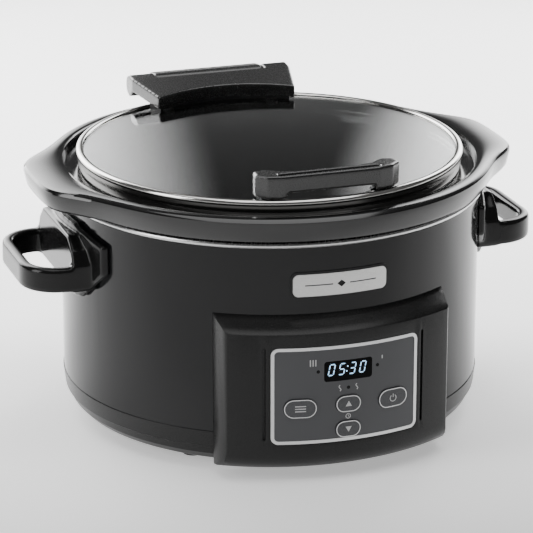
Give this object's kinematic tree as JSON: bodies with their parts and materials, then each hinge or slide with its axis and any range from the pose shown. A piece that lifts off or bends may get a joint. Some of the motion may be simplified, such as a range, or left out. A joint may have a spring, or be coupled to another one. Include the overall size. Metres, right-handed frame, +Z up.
{
  "type": "slow cooker",
  "caption": "Round countertop slow cooker: heating base with a digital panel, lift-out stoneware crock with side ears, and a hinged glass lid that lifts off.",
  "frame": {"origin": "on the table plane, under the middle of the heating base", "axes": "+Z up; the control panel faces -Y, the lid's hinge is at +Y, the carrying handles are along X"},
  "size_m": [0.378, 0.33, 0.2086],
  "materials": {
    "housing_plastic": "black moulded plastic, soft gloss",
    "handle_plastic": "black moulded plastic, polished",
    "lid_plastic": "black moulded plastic, polished",
    "wrap_metal": "charcoal metallic coating, glossy",
    "rim_steel": "rolled steel bead, bright",
    "ring_steel": "polished stainless steel",
    "plated_steel": "plated sheet steel",
    "screw_steel": "zinc plated",
    "pin_steel": "ground steel",
    "spring_steel": "spring wire",
    "band_metal": "foil faced heating band",
    "insulation_fibre": "glass fibre blanket",
    "sensor_aluminium": "turned aluminium",
    "white_ceramic": "ceramic body",
    "circuit_board": "green circuit board",
    "white_plastic": "natural nylon",
    "relay_plastic": "black component body",
    "transformer_core": "laminated core with taped winding",
    "lead_sleeve": "silicone sleeved lead",
    "ribbon_plastic": "grey flat cable",
    "overlay_plastic": "dark grey panel film",
    "window_plastic": "smoked window",
    "lens_plastic": "smoked lens",
    "display_plastic": "display block",
    "trim_metal": "satin silver border",
    "badge_metal": "brushed plate, blank",
    "button_plastic": "fine grained button cap",
    "foot_rubber": "soft rubber",
    "seal_silicone": "silicone pad",
    "stoneware_glaze": "black glazed stoneware",
    "lid_glass": "clear tempered glass"
  },
  "bodies": {
    "base": {"base_tray": "housing_plastic", "bottom_cover": "plated_steel", "cover_screws": "screw_steel", "feet": "foot_rubber", "outer_wrap": "wrap_metal", "rim_ring": "rim_steel", "heating_well": "plated_steel", "well_posts": "plated_steel", "tie_screws": "screw_steel", "heating_band": "band_metal", "insulation": "insulation_fibre", "temperature_sensor": "sensor_aluminium", "sensor_spring": "spring_steel", "thermal_fuse": "white_ceramic", "power_board": "circuit_board", "board_standoffs": "white_plastic", "relay": "relay_plastic", "transformer": "transformer_core", "heater_leads": "lead_sleeve", "control_bezel": "housing_plastic", "panel_trim": "trim_metal", "control_overlay": "overlay_plastic", "display_window": "window_plastic", "indicator_lenses": "lens_plastic", "display_module": "display_plastic", "display_board": "circuit_board", "tact_switches": "relay_plastic", "ribbon_cable": "ribbon_plastic", "badge": "badge_metal", "badge_frame": "housing_plastic", "left_handle": "handle_plastic", "right_handle": "handle_plastic", "handle_screws": "screw_steel", "cord_gland": "housing_plastic", "hinge_socket": "handle_plastic", "socket_screws": "screw_steel"},
    "crock": {"crock": "stoneware_glaze"},
    "hinge_carrier": {"hinge_carrier": "lid_plastic"},
    "lid": {"lid_ring": "ring_steel", "lid_glass": "lid_glass", "front_grip": "lid_plastic", "grip_pads": "seal_silicone", "grip_screws": "screw_steel", "hinge_plate": "lid_plastic", "hinge_pad": "seal_silicone", "hinge_screws": "screw_steel", "hinge_pin": "pin_steel"},
    "select_button": {"select_button": "button_plastic"},
    "timer_up_button": {"timer_up_button": "button_plastic"},
    "timer_down_button": {"timer_down_button": "button_plastic"},
    "off_button": {"off_button": "button_plastic"}
  },
  "joints": [
    {"name": "crock_lift", "type": "slide", "parent": "base", "child": "crock", "axis": [0, 0, 1], "range_m": [0, 0.16]},
    {"name": "lid_lift_off", "type": "slide", "parent": "crock", "child": "hinge_carrier", "axis": [0, 0, 1], "range_m": [0, 0.07]},
    {"name": "lid_hinge", "type": "hinge", "parent": "hinge_carrier", "child": "lid", "pos_m": [0, 0.1435, 0.2005], "axis": [-1, 0, 0], "range_deg": [0, 95]},
    {"name": "select_press", "type": "slide", "parent": "base", "child": "select_button", "axis": [0.2012, 0.9795, 0], "range_m": [0, 0.0008], "stiffness_N_per_m": 800},
    {"name": "timer_up_press", "type": "slide", "parent": "base", "child": "timer_up_button", "axis": [0, 1, 0], "range_m": [0, 0.0008], "stiffness_N_per_m": 800},
    {"name": "timer_down_press", "type": "slide", "parent": "base", "child": "timer_down_button", "axis": [0, 1, 0], "range_m": [0, 0.0008], "stiffness_N_per_m": 800},
    {"name": "off_press", "type": "slide", "parent": "base", "child": "off_button", "axis": [-0.2012, 0.9795, 0], "range_m": [0, 0.0008], "stiffness_N_per_m": 800}
  ]
}
